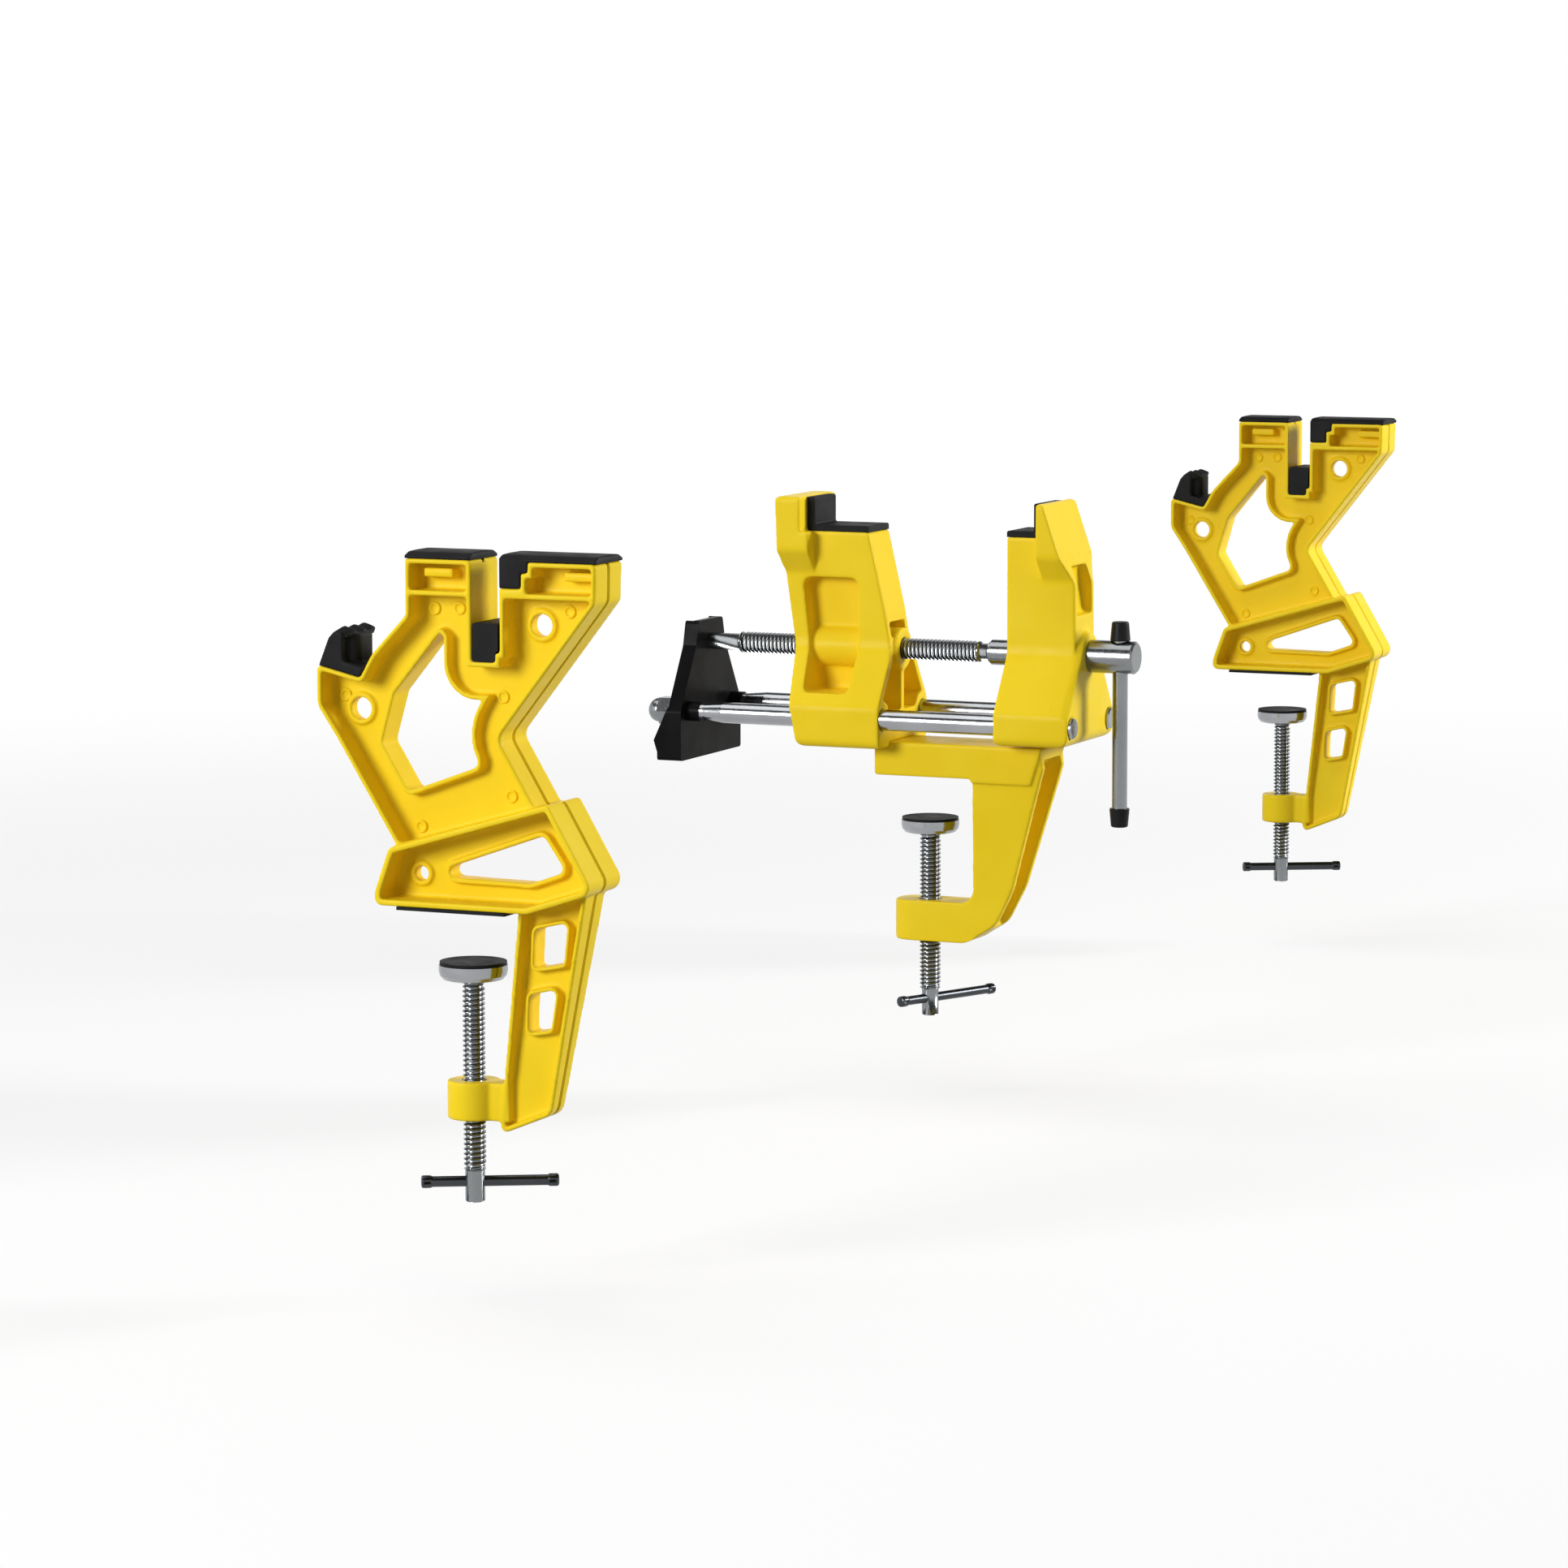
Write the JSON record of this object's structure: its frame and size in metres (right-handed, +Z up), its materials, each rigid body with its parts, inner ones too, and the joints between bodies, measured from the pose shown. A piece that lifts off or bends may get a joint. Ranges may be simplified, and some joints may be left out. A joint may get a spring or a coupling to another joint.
{
  "type": "ski tuning vise",
  "caption": "Bench vise set for tuning skis: a centre vise with a screw-driven sliding jaw between two cast end supports, all clamped on a bench edge.",
  "frame": {"origin": "on the axis of the centre vise's clamp screw, in the bench's top face, where the centre vise's base block rests", "axes": "+Z up, +X along the bench edge from the left support to the right one, +Y from the bench's edge into the bench; the bench's edge lies at y -0.0272"},
  "size_m": [1.0354, 0.2408, 0.2621],
  "materials": {
    "yellow_paint": "satin powder coat over a light casting",
    "black_rubber": "matte",
    "zinc_steel": "bright zinc plate",
    "chrome_steel": "polished",
    "black_sheet": "semi-gloss black paint",
    "cap_plastic": "matte"
  },
  "bodies": {
    "base": {"base_frame": "yellow_paint", "rear_jaw": "yellow_paint", "rear_jaw_pad": "black_rubber"},
    "front_carriage": {"front_jaw": "yellow_paint", "front_jaw_pad": "black_rubber", "left_guide_rod": "chrome_steel", "right_guide_rod": "chrome_steel", "left_rod_collar": "black_sheet", "right_rod_collar": "black_sheet", "left_rod_washer": "zinc_steel", "right_rod_washer": "zinc_steel", "left_rod_nut": "zinc_steel", "right_rod_nut": "zinc_steel", "rear_bracket": "black_sheet"},
    "main_spindle": {"main_spindle": "zinc_steel", "spindle_collar": "zinc_steel", "spindle_clip": "zinc_steel", "spindle_hub": "zinc_steel"},
    "handle": {"handle_bar": "zinc_steel", "upper_handle_cap": "cap_plastic", "lower_handle_cap": "cap_plastic"},
    "centre_disc": {"centre_clamp_disc": "chrome_steel", "centre_disc_pad": "black_rubber"},
    "centre_screw": {"centre_clamp_spindle": "zinc_steel"},
    "centre_bar": {"centre_clamp_bar": "zinc_steel"},
    "left_support": {"left_casting": "yellow_paint", "left_front_pad": "black_rubber", "left_rear_pad": "black_rubber", "left_slot_rubber": "black_rubber", "left_hook_rubber": "black_rubber", "left_bench_pad": "black_rubber"},
    "left_disc": {"left_clamp_disc": "chrome_steel", "left_disc_pad": "black_rubber"},
    "left_screw": {"left_clamp_spindle": "zinc_steel"},
    "left_bar": {"left_clamp_bar": "zinc_steel"},
    "right_support": {"right_casting": "yellow_paint", "right_front_pad": "black_rubber", "right_rear_pad": "black_rubber", "right_slot_rubber": "black_rubber", "right_hook_rubber": "black_rubber", "right_bench_pad": "black_rubber"},
    "right_disc": {"right_clamp_disc": "chrome_steel", "right_disc_pad": "black_rubber"},
    "right_screw": {"right_clamp_spindle": "zinc_steel"},
    "right_bar": {"right_clamp_bar": "zinc_steel"}
  },
  "joints": [
    {"name": "jaw_slide", "type": "slide", "parent": "base", "child": "front_carriage", "axis": [0, 1, 0], "range_m": [-0.038, 0.029]},
    {"name": "spindle_turn", "type": "hinge", "parent": "front_carriage", "child": "main_spindle", "pos_m": [0, -0.0572, 0.0593], "axis": [0, 1, 0], "range_deg": [-6850, 5230]},
    {"name": "handle_slide", "type": "slide", "parent": "main_spindle", "child": "handle", "axis": [0, 0, 1], "range_m": [0, 0.0635]},
    {"name": "left_support_set", "type": "slide", "parent": "base", "child": "left_support", "axis": [1, 0, 0], "range_m": [-0.2, 0.2]},
    {"name": "right_support_set", "type": "slide", "parent": "base", "child": "right_support", "axis": [1, 0, 0], "range_m": [-0.2, 0.2]},
    {"name": "left_clamp_lift", "type": "slide", "parent": "left_support", "child": "left_disc", "axis": [0, 0, 1], "range_m": [-0.036, 0.018]},
    {"name": "left_clamp_turn", "type": "hinge", "parent": "left_disc", "child": "left_screw", "pos_m": [-0.488, -0.0028, -0.07], "axis": [0, 0, 1], "range_deg": [-6490, 3250]},
    {"name": "left_bar_slide", "type": "slide", "parent": "left_screw", "child": "left_bar", "axis": [-0.4726, 0.8813, 0], "range_m": [-0.0126, 0.0246]},
    {"name": "right_clamp_lift", "type": "slide", "parent": "right_support", "child": "right_disc", "axis": [0, 0, 1], "range_m": [-0.036, 0.018]},
    {"name": "right_clamp_turn", "type": "hinge", "parent": "right_disc", "child": "right_screw", "pos_m": [0.5145, -0.0028, -0.07], "axis": [0, 0, 1], "range_deg": [-6490, 3250]},
    {"name": "right_bar_slide", "type": "slide", "parent": "right_screw", "child": "right_bar", "axis": [-0.4726, 0.8813, 0], "range_m": [-0.0126, 0.0246]},
    {"name": "centre_clamp_lift", "type": "slide", "parent": "base", "child": "centre_disc", "axis": [0, 0, 1], "range_m": [-0.03, 0.018]},
    {"name": "centre_clamp_turn", "type": "hinge", "parent": "centre_disc", "child": "centre_screw", "pos_m": [0, 0, -0.07], "axis": [0, 0, 1], "range_deg": [-5410, 3250]},
    {"name": "centre_bar_slide", "type": "slide", "parent": "centre_screw", "child": "centre_bar", "axis": [0.9114, -0.4115, 0], "range_m": [-0.033, 0.011]}
  ],
  "couplings": [
    {"joint": "spindle_turn", "follows": "jaw_slide", "rad_per_m": 3141.6},
    {"joint": "left_clamp_turn", "follows": "left_clamp_lift", "rad_per_m": 3141.6},
    {"joint": "right_clamp_turn", "follows": "right_clamp_lift", "rad_per_m": 3141.6},
    {"joint": "centre_clamp_turn", "follows": "centre_clamp_lift", "rad_per_m": 3141.6}
  ]
}
